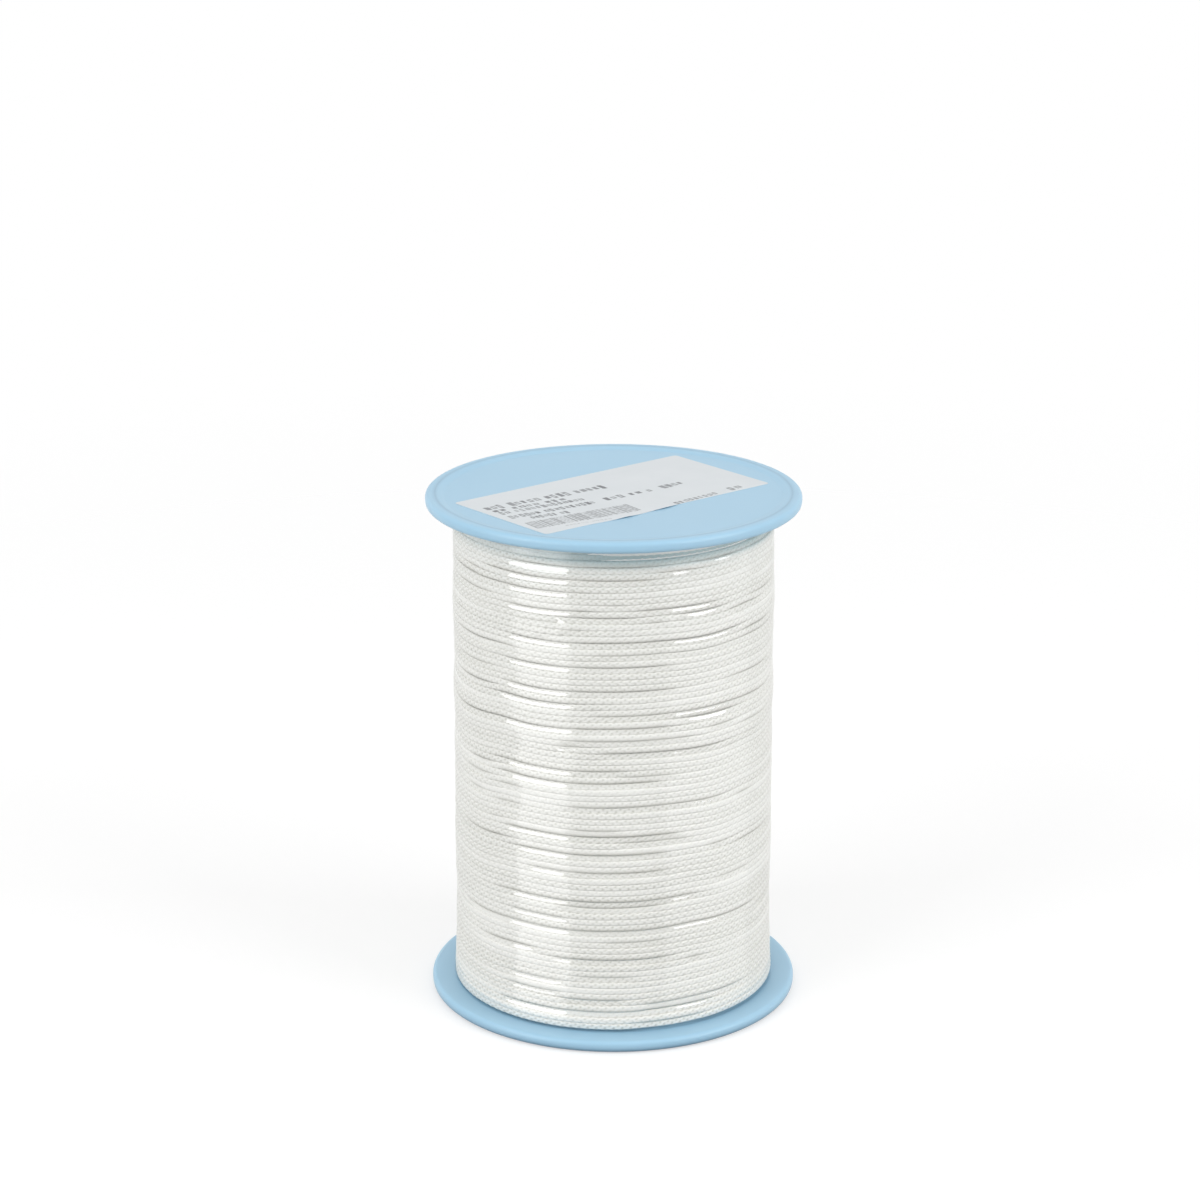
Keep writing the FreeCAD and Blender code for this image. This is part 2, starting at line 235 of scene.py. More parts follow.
def rounded_profile(corners, steps=6):
    """A closed profile from corners (radius, height, rounding), each corner eased by its rounding."""
    line = []
    for index, (across, up, rounding) in enumerate(corners):
        here = np.array([across, up])
        before = np.array(corners[index - 1][:2]) - here
        after = np.array(corners[(index + 1) % len(corners)][:2]) - here
        reach = min(rounding, 0.45 * np.linalg.norm(before), 0.45 * np.linalg.norm(after))
        first = here + before / np.linalg.norm(before) * reach
        last = here + after / np.linalg.norm(after) * reach
        for part in np.linspace(0, 1, steps):
            line.append(first * (1 - part) ** 2 + here * 2 * part * (1 - part) + last * part ** 2)
    return np.array(line)


def revolved(profile, segments=256):
    """Points and quads of a closed profile turned about the Z axis."""
    angle = np.linspace(0, 2 * math.pi, segments, endpoint=False)
    points = around_axis(profile[:, :1], angle, profile[:, 1:])
    return points.reshape(-1, 3), grid_faces(len(profile), segments, True, True)[0]


def smooth_noise(places, spacing, seed):
    """Smooth seeded values with a spread of about one, which change over the given spacing."""
    knots = np.random.default_rng(seed).normal(size=int(np.max(places) / spacing) + 3)
    scaled = places / spacing
    low = np.floor(scaled).astype(int)
    part = scaled - low
    part = part * part * (3 - 2 * part)
    return knots[low] * (1 - part) + knots[low + 1] * part


# --- Materials ------------------------------------------------------------------------------------

def new_material(name):
    """A material with an empty node tree and its output."""
    material = bpy.data.materials.new(name)
    material.use_nodes = True
    nodes = material.node_tree.nodes
    nodes.clear()
    return material, nodes, material.node_tree.links, nodes.new("ShaderNodeOutputMaterial")


def noise_pattern(nodes, links, scale):
    """Noise over the object's own coordinates."""
    place = nodes.new("ShaderNodeTexCoord")
    noise = nodes.new("ShaderNodeTexNoise")
    noise.inputs["Scale"].default_value = scale
    noise.inputs["Detail"].default_value = 3.0
    links.new(place.outputs["Object"], noise.inputs["Vector"])
    return noise.outputs["Fac"]


def varied(nodes, links, scale, first, last):
    """A colour that varies softly between two."""
    ramp = nodes.new("ShaderNodeValToRGB")
    ramp.color_ramp.elements[0].position = 0.3
    ramp.color_ramp.elements[0].color = (*first, 1)
    ramp.color_ramp.elements[1].position = 0.7
    ramp.color_ramp.elements[1].color = (*last, 1)
    links.new(noise_pattern(nodes, links, scale), ramp.inputs["Fac"])
    return ramp.outputs["Color"]


def changed(nodes, links, colour, attribute_name, second, blend="MIX"):
    """A colour that changes to a second one, or is multiplied by it, where a mesh attribute says."""
    attribute = nodes.new("ShaderNodeAttribute")
    attribute.attribute_name = attribute_name
    mix = nodes.new("ShaderNodeMix")
    mix.data_type = "RGBA"
    mix.blend_type = blend
    mix.inputs["B"].default_value = (*second, 1)
    links.new(attribute.outputs["Fac"], mix.inputs["Factor"])
    links.new(colour, mix.inputs["A"])
    return mix.outputs["Result"]


def surface(nodes, links, output, colour, roughness):
    """A plain surface with a colour and a roughness."""
    shader = nodes.new("ShaderNodeBsdfPrincipled")
    shader.inputs["Roughness"].default_value = roughness
    links.new(colour, shader.inputs["Base Color"])
    links.new(shader.outputs["BSDF"], output.inputs["Surface"])
    return shader


def grained(name, first, last, scale, roughness, grain_scale, grain_depth, translucence=0.0, edge=None):
    """A material whose colour and surface vary softly, with a darker colour painted as shade where the
    mesh is marked for it.
    """
    material, nodes, links, output = new_material(name)
    colour = varied(nodes, links, scale, first, last)
    # The second colour is painted shade, darkening the marked contact lines and creases where shadow would
    # fall.
    if edge:
        colour = changed(nodes, links, colour, "painted_shade", edge)
    shader = surface(nodes, links, output, colour, roughness)
    if translucence:
        shader.inputs["Subsurface Weight"].default_value = translucence
        shader.inputs["Subsurface Radius"].default_value = (1, 1, 1)
        shader.inputs["Subsurface Scale"].default_value = MM
    bump = nodes.new("ShaderNodeBump")
    bump.inputs["Strength"].default_value = 1.0
    bump.inputs["Distance"].default_value = grain_depth * MM
    links.new(noise_pattern(nodes, links, grain_scale), bump.inputs["Height"])
    links.new(bump.outputs["Normal"], shader.inputs["Normal"])
    return material


def cord_material():
    """White braided fibre, greyer with painted shade between its strands and beside the grooves, and a
    painted bluish shade under the flange for its shadow and the light it bounces.
    """
    material, nodes, links, output = new_material("cord_fibre")
    colour = varied(nodes, links, 700.0, (0.907, 0.905, 0.873), (0.945, 0.943, 0.916))
    # Painted shade between the strands and under the turns beside the grooves.
    colour = changed(nodes, links, colour, "painted_shade", (0.60, 0.597, 0.54))
    # Painted shade under the upper flange, bluish for light bounced off the flange.
    colour = changed(nodes, links, colour, "painted_flange_shade", (0.36, 0.53, 0.57), "MULTIPLY")
    surface(nodes, links, output, colour, 0.4)
    return material


def film_material():
    """Clear film: mostly see-through, with a sheen that grows towards its edges up to a limit."""
    material, nodes, links, output = new_material("clear_film")
    fresnel = nodes.new("ShaderNodeFresnel")
    fresnel.inputs["IOR"].default_value = 1.62
    sheen = nodes.new("ShaderNodeMath")
    sheen.operation = "MULTIPLY"
    sheen.inputs[1].default_value = 2.0
    limit = nodes.new("ShaderNodeMath")
    limit.operation = "MINIMUM"
    limit.inputs[1].default_value = 0.125
    roughness = nodes.new("ShaderNodeMapRange")
    roughness.inputs["To Min"].default_value = 0.03
    roughness.inputs["To Max"].default_value = 0.09
    clear = nodes.new("ShaderNodeBsdfTransparent")
    clear.inputs["Color"].default_value = (0.985, 0.988, 0.985, 1)
    gloss = nodes.new("ShaderNodeBsdfAnisotropic")
    gloss.inputs["Color"].default_value = (1, 1, 1, 1)
    mix = nodes.new("ShaderNodeMixShader")
    links.new(noise_pattern(nodes, links, 60.0), roughness.inputs["Value"])
    links.new(roughness.outputs["Result"], gloss.inputs["Roughness"])
    links.new(fresnel.outputs["Fac"], sheen.inputs[0])
    links.new(sheen.outputs["Value"], limit.inputs[0])
    links.new(limit.outputs["Value"], mix.inputs["Fac"])
    links.new(clear.outputs["BSDF"], mix.inputs[1])
    links.new(gloss.outputs["BSDF"], mix.inputs[2])
    links.new(mix.outputs["Shader"], output.inputs["Surface"])
    return material


def label_material():
    """White label stock with grey ink where the mesh's ink attribute says."""
    material, nodes, links, output = new_material("label_paper")
    colour = varied(nodes, links, 90.0, (0.68, 0.72, 0.745), (0.71, 0.746, 0.77))
    colour = changed(nodes, links, colour, "ink", (0.045, 0.05, 0.06))
    surface(nodes, links, output, colour, 0.42)
    return material


# The last colour is painted shade for the flanges' marked contact lines and creases.
PLASTIC = grained(
    "flange_plastic", (0.362, 0.595, 0.765), (0.378, 0.609, 0.779), scale=40.0, roughness=0.38,
    grain_scale=900.0, grain_depth=0.01, translucence=0.15, edge=(0.16, 0.30, 0.43))
BOARD = grained(
    "tube_board", (0.33, 0.25, 0.17), (0.42, 0.33, 0.24), scale=55.0, roughness=0.85,
    grain_scale=700.0, grain_depth=0.1)
TAPE = grained(
    "paper_tape", (0.62, 0.52, 0.36), (0.68, 0.58, 0.42), scale=80.0, roughness=0.6,
    grain_scale=900.0, grain_depth=0.04)
CORD = cord_material()
FILM = film_material()
PAPER = label_material()


# --- Flanges --------------------------------------------------------------------------------------

def flange_profile():
    """The flange's section: radius, depth under the outer face, and how much each corner is eased."""
    rim = RIM_THICKNESS / 2
    land = FLANGE_RADIUS - rim
    inside = COLLAR_RADIUS - COLLAR_WALL
    hub = BORE_RADIUS + HUB_WALL
    hub_end = RIM_THICKNESS + HUB_DEPTH
    corners = []
    for angle in np.linspace(0, math.pi, RIM_STEPS):
        across = math.sin(angle) ** RIM_POWER
        up = math.copysign(abs(math.cos(angle)) ** RIM_POWER, math.cos(angle))
        corners.append((land + rim * across, rim - rim * up, 0.05))
    corners += [
        (TURNS_RADIUS + 0.7, RIM_THICKNESS, 0.3),
        (TURNS_RADIUS, RIM_THICKNESS, 0.3),
        (TURNS_RADIUS - 1.5, RIM_THICKNESS, 0.3),
        (COLLAR_RADIUS, RIM_THICKNESS, 0.4),
        (COLLAR_RADIUS, FLANGE_DEPTH - COLLAR_CHAMFER, 0.2),
        (COLLAR_RADIUS - COLLAR_CHAMFER, FLANGE_DEPTH, 0.2),
        (inside, FLANGE_DEPTH, 0.2),
        (inside, RIM_THICKNESS, 0.5),
        (hub, RIM_THICKNESS, 0.5),
        (hub, hub_end, 0.3),
        (BORE_RADIUS + BORE_CHAMFER, hub_end, 0.15),
        (BORE_RADIUS, hub_end - BORE_CHAMFER, 0.15),
        (BORE_RADIUS, RECESS_DEPTH + BORE_CHAMFER, 0.15),
        (BORE_RADIUS + BORE_CHAMFER, RECESS_DEPTH, 0.15),
        (land - RIM_LAND - RECESS_SLOPE, RECESS_DEPTH, 0.5),
        (land - RIM_LAND - RECESS_SLOPE / 2, RECESS_DEPTH / 3, 0.4),
        (land - RIM_LAND, 0.0, 0.3),
    ]
    return rounded_profile(corners)


def paint_shade_lines(piece, circles):
    """Mark the circles (radius, height, width, strength) where a flange gets painted shade."""
    coordinates = np.empty(len(piece.data.vertices) * 3, np.float32)
    piece.data.vertices.foreach_get("co", coordinates)
    x, y, z = coordinates.reshape(-1, 3).T / MM
    painted_shade = np.zeros(len(x))
    for radius, height, width, strength in circles:
        away = np.hypot(np.hypot(x, y) - radius, z - height)
        painted_shade = np.maximum(painted_shade, strength * np.exp(-(away / width) ** 2))
    mark_points(piece.data, "painted_shade", painted_shade)


def flange(name, outer_face, inward):
    """A flange whose outer face is at a height, with its hub and collar towards the middle."""
    profile = flange_profile()
    profile[:, 1] = outer_face + inward * profile[:, 1]
    points, faces = revolved(profile)
    if inward > 0:
        faces = faces[:, ::-1]
    overlap = 0.2
    hub = BORE_RADIUS + HUB_WALL
    inside = COLLAR_RADIUS - COLLAR_WALL
    root = outer_face + inward * (RIM_THICKNESS - overlap)
    web_end = outer_face + inward * (RIM_THICKNESS + WEB_DEPTH)
    rib_end = outer_face + inward * (FLANGE_DEPTH - RIB_END)
    webs = ring_of_boxes(WEB_COUNT, hub - overlap, inside + overlap, WEB_THICKNESS, (root, web_end))
    rib_inner, rib_outer = TUBE_BORE_RADIUS - RIB_DEPTH, TUBE_BORE_RADIUS - RIB_CLEARANCE
    ribs = ring_of_boxes(RIB_COUNT, rib_inner, rib_outer, RIB_WIDTH, (root, rib_end))
    piece = joined(name, [(points, faces)] + webs + ribs, PLASTIC)
    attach(piece, "root")
    return piece


lower = flange("lower_flange_moulding", 0.0, 1)
upper = flange("upper_flange_moulding", REEL_HEIGHT, -1)
inner_edge = FLANGE_RADIUS - RIM_THICKNESS / 2 - RIM_LAND
# Painted shade along where the winding meets the lower flange, where the lower rim meets the floor, and
# along the inner edge of the upper flange's land.
under_film, on_floor = (TURNS_RADIUS + 0.5, WINDING_BOTTOM, 0.6, 0.5), (FLANGE_RADIUS - 0.3, 0.3, 0.9, 1.0)
paint_shade_lines(lower, (under_film, on_floor))
paint_shade_lines(upper, ((inner_edge, REEL_HEIGHT, 0.35, 0.38),))
for piece, node in ((lower, "lower_flange"), (upper, "upper_flange")):
    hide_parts(node)


# --- Winding --------------------------------------------------------------------------------------

# Grooves where turns stand apart: how wide each is beside the others, and its course over the front as
# degrees from the front, towards the right, and height.
GROOVES = (
    (2.2, ((-36, 124.6), (-20, 124.4), (14, 124.0))),
    (2.4, ((18, 122.6), (34, 124.0), (45, 125.0))),
    (3.0, ((-60, 120.2), (-38, 120.7), (-16, 121.2), (-10, 121.5), (12, 121.6))),
    (2.4, ((-72, 118.2), (-40, 118.2), (-31, 118.4), (-12, 117.4))),
    (2.2, ((-72, 115.0), (-62, 115.2), (-50, 114.7))),
    (2.6, ((-37, 113.4), (-17, 113.2), (-10, 114.0), (0, 114.5), (14, 114.2), (36, 113.9))),
    (2.4, ((-16, 111.1), (20, 111.2), (48, 111.5), (72, 112.0))),
    (2.0, ((-24, 107.2), (-12, 109.2))),
    (3.0, ((-36, 105.4), (-17, 104.9), (-8, 105.7), (12, 106.1), (20, 105.8), (42, 105.4), (72, 104.6))),
    (1.2, ((-5, 102.8), (30, 102.6), (72, 102.0))),
    (2.8, ((-69, 101.0), (-60, 102.0), (-48, 102.6), (-40, 102.4))),
    (2.8, ((-37, 99.4), (-16, 99.0), (0, 99.2), (18, 99.0))),
    (2.0, ((-72, 95.6), (-58, 96.0), (-48, 95.8))),
    (3.0, ((-38, 93.1), (-16, 93.1), (0, 93.2), (20, 93.0))),
    (2.0, ((45, 93.4), (60, 93.8), (72, 93.0))),
    (3.2, ((-70, 90.2), (-60, 90.6), (-45, 90.4), (-36, 90.0), (-17, 89.3), (-8, 88.8))),
    (2.0, ((-5, 86.8), (15, 86.8), (25, 87.0), (45, 87.4), (72, 86.6))),
    (3.0, ((-72, 82.0), (-60, 82.4), (-38, 83.5), (-16, 83.2), (8, 83.6), (30, 84.8), (45, 85.6))),
    (2.0, ((-16, 80.6), (10, 80.2), (40, 81.2), (68, 80.8))),
    (2.8, ((-18, 78.2), (0, 77.6), (20, 76.9), (45, 75.8))),
    (2.6, ((-50, 73.0), (-34, 73.1), (-16, 72.9), (2, 73.0))),
    (1.2, ((3, 71.0), (20, 71.0))),
    (3.0, ((-60, 70.5), (-50, 70.0), (-37, 69.2), (-16, 68.9), (14, 68.9))),
    (2.0, ((-62, 66.4), (-55, 66.9), (-45, 66.3), (-38, 66.0))),
    (2.0, ((-14, 63.0), (15, 62.8), (40, 62.3), (55, 62.0))),
    (1.4, ((-60, 61.6), (-38, 61.3))),
    (1.3, ((-14, 57.0), (0, 56.6))),
    (3.0, ((-45, 55.7), (-37, 55.7), (-16, 55.3), (5, 55.2), (20, 55.4))),
    (1.2, ((5, 53.2), (25, 53.5))),
    (3.0, ((-70, 50.0), (-55, 51.0), (-38, 51.0), (-18, 50.4), (0, 50.2), (16, 50.1))),
    (2.0, ((38, 50.0), (55, 49.3), (72, 48.6))),
    (2.2, ((-28, 45.4), (-18, 45.2), (10, 45.5), (16, 45.3))),
    (1.6, ((42, 40.6), (60, 40.2))),
    (2.8, ((-45, 38.3), (-37, 38.2), (-17, 38.0), (0, 38.5), (18, 38.4), (28, 38.0))),
    (1.6, ((-18, 35.6), (15, 36.2))),
    (2.2, ((-40, 33.8), (-18, 33.4))),
    (3.0, ((-72, 28.0), (-62, 29.0), (-40, 29.9), (-20, 29.9), (0, 30.1), (20, 30.5), (50, 30.0),
           (72, 28.6))),
    (1.2, ((0, 27.4), (16, 27.4))),
    (2.8, ((-50, 23.1), (-37, 23.1), (-16, 22.8), (8, 22.6), (16, 22.2), (32, 21.7))),
    (1.2, ((-10, 18.0), (5, 18.0))),
    (1.6, ((-38, 15.9), (-20, 15.6))),
    (1.4, ((-38, 12.6), (-20, 12.4))),
    (2.2, ((-16, 10.8), (10, 10.8), (40, 10.6), (50, 10.0))),
    (2.0, ((-40, 8.6), (-17, 8.4), (0, 8.2), (14, 8.3), (36, 8.3))),
    (1.4, ((10, 5.8), (30, 5.4))),
)


def front_azimuth(share):
    """Degrees from the front, towards the right, at a share of a turn after the cord's start."""
    angle = np.degrees(LAST_TURN_START) + 360 * share + 90
    return (angle + 180) % 360 - 180


def ease(value, low, high):
    """0 below low, 1 above high and a smooth rise between."""
    part = np.clip((value - low) / (high - low), 0, 1)
    return part * part * (3 - 2 * part)


def groove_course(course, azimuth):
    """A groove's height along the front, and how far it is open: it closes past its ends."""
    height = np.interp(azimuth, [at for at, _ in course], [up for _, up in course])
    first, last = course[0][0], course[-1][0]
    return height, ease(azimuth, first - 6, first + 2) * (1 - ease(azimuth, last - 2, last + 6))


def smoothed(values, width):
    """Values averaged softly with those beside them, over a number of steps."""
    kernel = np.hanning(width)
    return np.convolve(np.pad(values, width // 2, "edge"), kernel / kernel.sum(), "valid")


def looseness(azimuth):
    """How much room each turn leaves over it, beside the others: much less round the front."""
    turn = np.arange(TURNS * PATH_STEPS) / PATH_STEPS
    loose = np.exp(1.6 * np.clip(smooth_noise(turn, 0.4, 11), -2.5, 1.7)).reshape(TURNS, PATH_STEPS)
    return loose * (1 - 0.92 * ease(azimuth, -95, -75) * (1 - ease(azimuth, 75, 95)))


def groove_depth(width, height, opening):
    """How deep a groove is: more where it is wide, and low on the winding."""
    return (0.16 + 0.12 * width) * opening * (1.45 - 0.45 * ease(height, 55, 100))


def eased_grooves(grooves, azimuth):
    """The grooves with smooth courses, closed where one of them passes on to another turn."""
    order = np.argsort(azimuth)
    eased = []
    for middle, depth in grooves:
        line = np.empty(PATH_STEPS)
        line[order] = smoothed(middle[order], 9)
        shifts = np.abs(np.diff(middle[order], append=middle[order[-1]])) > 0.6
        depth[order] *= 1 - np.minimum(5 * smoothed(shifts.astype(float), 11), 1)
        eased.append((line, depth))
    return eased


def spread_turns():
    """Height of each turn round the reel, and the grooves between turns: middle height and depth."""
    step = np.arange(PATH_STEPS)
    share = step / PATH_STEPS
    azimuth = front_azimuth(share)
    loose = looseness(azimuth)
    first = WINDING_BOTTOM + END_SPACE
    last = WINDING_TOP - END_SPACE
    slack = last - first - TURNS * TURN_SPACE
    height = first + (np.arange(TURNS)[:, None] + share) * (last - first) / TURNS
    for _ in range(6):
        weight = loose.copy()
        between = (height[1:] + height[:-1]) / 2
        grooves = []
        for width, course in GROOVES:
            line, opening = groove_course(course, azimuth)
            below = np.argmin(np.abs(between - line), 0)
            weight[below, step] += 1.3 * width * opening
            grooves.append((between[below, step], groove_depth(width, line, opening)))
        weight = smoothed(weight.ravel(), 15).reshape(TURNS, PATH_STEPS)
        weight[0] *= ease(share, 0, 0.4)
        weight[-2] *= 1 - ease(share, 0.6, 1)
        gap = slack * weight[:-1] / weight[:-1].sum(0)
        height[0] = first + TURN_SPACE * share
        height[1:] = height[0] + np.cumsum(gap + TURN_SPACE, 0)
    return height, eased_grooves(grooves, azimuth)


def tuck(height, azimuth):
    """How far the last turns draw in beneath the upper flange: most at the front right."""
    most = 1.5
    under_flange = ease(height, WINDING_TOP - 6.0, WINDING_TOP - 2.4)
    return most * under_flange * (0.25 + 0.75 * ease(azimuth, -35, 5))


def groove_dip(height, share, grooves):
    """How far the grooves let the turns and the film sink: most at a groove's middle, easing downwards."""
    index = np.round(share * PATH_STEPS).astype(int) % PATH_STEPS
    dip = np.zeros(np.broadcast(height, share).shape)
    for middle, depth in grooves:
        above = height - middle[index]
        tooth = np.clip(1 + above / TOOTH_BELOW, 0, 1) ** 1.5 * (1 - ease(above, 0.0, TOOTH_ABOVE))
        dip = np.maximum(dip, depth[index] * tooth)
    return dip


def winding_path():
    """Height and radius of the cord's middle along the winding, and the radius without grooves."""
    turn = np.arange(TURNS * PATH_STEPS) / PATH_STEPS
    height, grooves = spread_turns()
    height = smoothed(height.ravel(), 13) + 0.02 * smooth_noise(turn, 0.03, 12)
    stations = (WINDING_BOTTOM, WINDING_BOTTOM + 14, 60.0, WINDING_TOP)
    taper = np.interp(height, stations, (0.75, 0.35, 0.05, -0.18))
    level = TURNS_RADIUS - CORD_RADIUS + taper
    level += 0.03 * smooth_noise(turn, 0.23, 13) + 0.09 * smooth_noise(turn, 5.0, 14)
    dip = groove_dip(height + 0.45, turn % 1, grooves)
    height[:PATH_STEPS] = np.maximum(height[:PATH_STEPS], WINDING_BOTTOM + END_SPACE)
    return turn, height, level - dip - tuck(height, front_azimuth(turn)), level, grooves


place, path_height, path_radius, path_level, grooves = winding_path()


def braid_depth(turn):
    """How far the braid's surface lies below its highest points, round the cord and along it."""
    roll = math.radians(22.5) + math.radians(7) * smooth_noise(turn, 0.3, 15)
    around = RING_ANGLES - roll[:, None]
    along = 2 * math.pi * turn * (TURNS_RADIUS - CORD_RADIUS)
    lay = 2 * math.pi / (4 * BRAID_PERIOD)
    twist = (lay * along)[:, None]
    across = CORD_RADIUS * math.cos(math.atan(CORD_RADIUS * lay))
    quarter = math.pi / 2
    over = STRAND_RISE * np.cos(4 * around)
    heights = []
    for place_in_strands, lift in ((around - twist, over), (around + twist, -over)):
        beside = (place_in_strands + quarter / 2) % quarter - quarter / 2
        bulge = np.sqrt(np.clip(1 - (beside * across / STRAND_HALF_WIDTH) ** 2, 0, 1))
        heights.append(lift + STRAND_BULGE * bulge)
    relief = np.clip(0.85 + 0.25 * smooth_noise(turn, 0.12, 16), 0.4, 1.0)[:, None]
    return (STRAND_RISE + STRAND_BULGE - np.maximum(*heights)) * relief


def cord_painted_shade(turn, height, depth):
    """How much painted shade the cord gets, from 0 to 1: between its strands, and next to the grooves,
    where their shadows would fall.
    """
    painted_shade = np.clip((depth - 0.03) / 0.17, 0, 1)
    index = np.round(turn * PATH_STEPS).astype(int) % PATH_STEPS
    ring_height = height[:, None] + CORD_RADIUS * np.sin(RING_ANGLES)
    # Painted shadow of each groove on the turn beside it.
    for middle, dip in grooves:
        beside = (ring_height - middle[index][:, None] - 0.15) / 0.5
        painted_shade = np.maximum(painted_shade, 1.7 * dip[index][:, None] * np.exp(-beside ** 2))
    return np.minimum(painted_shade, 1)


def cord_rings(first_turn, last_turn):
    """Rings of points round the cord, from one place along it to another in turns, and their painted
    shade.
    """
    count = max(2, round((last_turn - first_turn) * RINGS_PER_TURN) + 1)
    turn = np.linspace(first_turn, last_turn, count)
    height = np.interp(turn, place, path_height)
    radius = np.interp(turn, place, path_radius)
    depth = braid_depth(turn)
    cos_power = np.abs(np.cos(RING_ANGLES)) ** SECTION_POWER
    sin_power = np.abs(np.sin(RING_ANGLES)) ** SECTION_POWER
    section = CORD_RADIUS * (cos_power + sin_power) ** (-1 / SECTION_POWER) - depth
    tip = np.minimum(ease(turn, 0, CORD_TIP), 1 - ease(turn, CORD_END - CORD_TIP, CORD_END))
    section *= np.maximum(tip, 0.04)[:, None]
    distance = radius[:, None] + section * np.cos(RING_ANGLES)
    angle = LAST_TURN_START + 2 * math.pi * turn
    up = section * np.sin(RING_ANGLES) * CORD_SPREAD
    points = around_axis(distance, angle[:, None], height[:, None] + up)
    return points, cord_painted_shade(turn, height, depth)


def cord_piece(name, first_turn, last_turn, bands, node):
    """A stretch of the cord as a piece that stands for a CAD node."""
    points, painted_shade = cord_rings(first_turn, last_turn)
    piece = grid_piece(name, points, CORD, bands)
    azimuth = np.degrees(np.arctan2(points[..., 0], -points[..., 1]))
    # Painted shade under the upper flange, bluish for light bounced off it, strongest towards the front
    # right.
    under_flange = ease(points[..., 2], WINDING_TOP - 7.0, WINDING_TOP - 3.0)
    mark_points(piece.data, "painted_shade", painted_shade)
    mark_points(piece.data, "painted_flange_shade", under_flange * (0.3 + 0.7 * ease(azimuth, -40, 5)))
    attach(piece, "root")
    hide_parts(node)


cuts = np.linspace(0, TURNS - 1, TURN_PIECES + 1)
for index in range(TURN_PIECES):
    cord_piece(f"cord_turns_{index + 1:02d}", cuts[index], cuts[index + 1], 8, "cord_outer_layer")
cord_piece("cord_turn_last", TURNS - 1, CORD_END, 4, "cord_last_turn")


def layer_beneath():
    """The winding's inner layers: a solid whose outside has the ridges of the layer's turns."""
    pitch = (WINDING_TOP - WINDING_BOTTOM) / TURNS
    steps = 6
    height = WINDING_BOTTOM + np.arange(TURNS * steps + 1) * pitch / steps
    ridge = np.abs(np.sin(math.pi * (height - WINDING_BOTTOM) / pitch))
    taper = np.interp(height, (WINDING_BOTTOM, 60.0, WINDING_TOP), (0.3, 0.0, -0.2))
    outside = INNER_RADIUS - 0.3 + 0.5 * ridge + taper
    inside = TUBE_BORE_RADIUS + TUBE_WALL + TAPE_AND_GAPS
    profile = [(inside, WINDING_BOTTOM)] + list(zip(outside, height)) + [(inside, WINDING_TOP)]
    return joined("cord_layers_beneath", [revolved(np.array(profile), 180)], CORD)


beneath = layer_beneath()
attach(beneath, "root")
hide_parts("cord_inner_layers")


# --- Film -----------------------------------------------------------------------------------------

def bridged(crest, step, ball):
    """The crests with the gaps filled that a ball of a radius, rolled down over them, can't reach."""
    reach = int(ball / step)
    offsets = np.arange(-reach, reach + 1)
    lift = np.sqrt(ball ** 2 - (offsets * step) ** 2)
    rows = len(crest)
    padded = np.pad(crest, ((reach, reach), (0, 0)), "edge")
    rolled = np.max([padded[i:i + rows] + lift[i] for i in range(len(offsets))], 0)
    padded = np.pad(rolled, ((reach, reach), (0, 0)), "edge")
    return np.min([padded[i:i + rows] - lift[i] for i in range(len(offsets))], 0)


def turn_crests(height, share, radius):
    """The outermost cord at each height and share of a turn, for a path radius along the winding."""
    crest = np.full((len(height), len(share)), 30.0)
    for turn in range(TURNS):
        along = turn + share
        beside = (height[:, None] - np.interp(along, place, path_height)) / (CORD_SPREAD * CORD_RADIUS)
        arc = CORD_RADIUS * np.clip(1 - np.abs(beside) ** SECTION_POWER, 0, 1) ** (1 / SECTION_POWER)
        reached = np.maximum(crest, np.interp(along, place, radius) + arc)
        crest = np.where(np.abs(beside) < 1, reached, crest)
    return crest


def film_points():
    """The film stretched over the turns: it bridges them and dips into the grooves."""
    low, high = WINDING_BOTTOM + 0.2, WINDING_TOP - 0.2
    height = np.linspace(low, high, FILM_ROWS)
    share = np.arange(FILM_COLUMNS) / FILM_COLUMNS
    step = height[1] - height[0]
    taut = 1 - 0.45 * ease(front_azimuth(share), 5, 22)
    dip = taut * groove_dip(height[:, None], share, grooves)
    film = bridged(turn_crests(height, share, path_level), step, TAUT_BALL) - dip
    film = np.maximum(film, bridged(turn_crests(height, share, path_radius), step, SNUG_BALL)) + FILM_GAP
    around = 2 * math.pi * share
    for waves, seed in FILM_WAVES:
        swell = smooth_noise(height - low, 5.0, seed)[:, None] * np.cos(waves * around + seed)
        film += 0.35 / waves * (1 + swell)
    edge = np.minimum(height - low, high - height)
    film -= 0.5 * (1 - ease(edge, 0, 0.5))[:, None] ** 2
    return around_axis(film, LAST_TURN_START + around, height[:, None])


film = grid_piece("film_sleeve", film_points(), FILM)
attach(film, "root")
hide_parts("film_wrap")


# --- Label ----------------------------------------------------------------------------------------

# Rows of plain marks where print would be: the row's start and end along and across the label, the
# height of its marks before they vary, its strength, and the lengths of its groups of marks.
PRINT_ROWS = (
    ((-34.2, 8.6, 2.6, 6.2), 2.3, 1.0, (3, 5, 4, 5)),
    ((-34.0, 5.6, -12.5, 3.4), 1.6, 1.0, (2, 4, 3)),
    ((-33.8, 3.0, -9.2, 0.4), 1.7, 1.0, (2, 13)),
    ((-34.2, -1.2, -8.6, -3.6), 1.7, 1.0, (6, 10)),
    ((-5.6, -3.2, 9.9, -3.9), 1.8, 1.0, (3, 2, 1)),
    ((12.6, -3.6, 20.4, -3.4), 1.9, 1.0, (4,)),
    ((-30.2, -4.6, -19.6, -6.4), 1.6, 1.0, (6, 2)),
    ((-28.1, -15.4, -15.2, -17.0), 0.5, 0.45, (6, 5)),
    ((5.4, -17.3, 20.4, -16.5), 1.7, 1.0, (9,)),
    ((24.7, -15.9, 29.2, -15.8), 1.8, 1.0, (2,)),
)

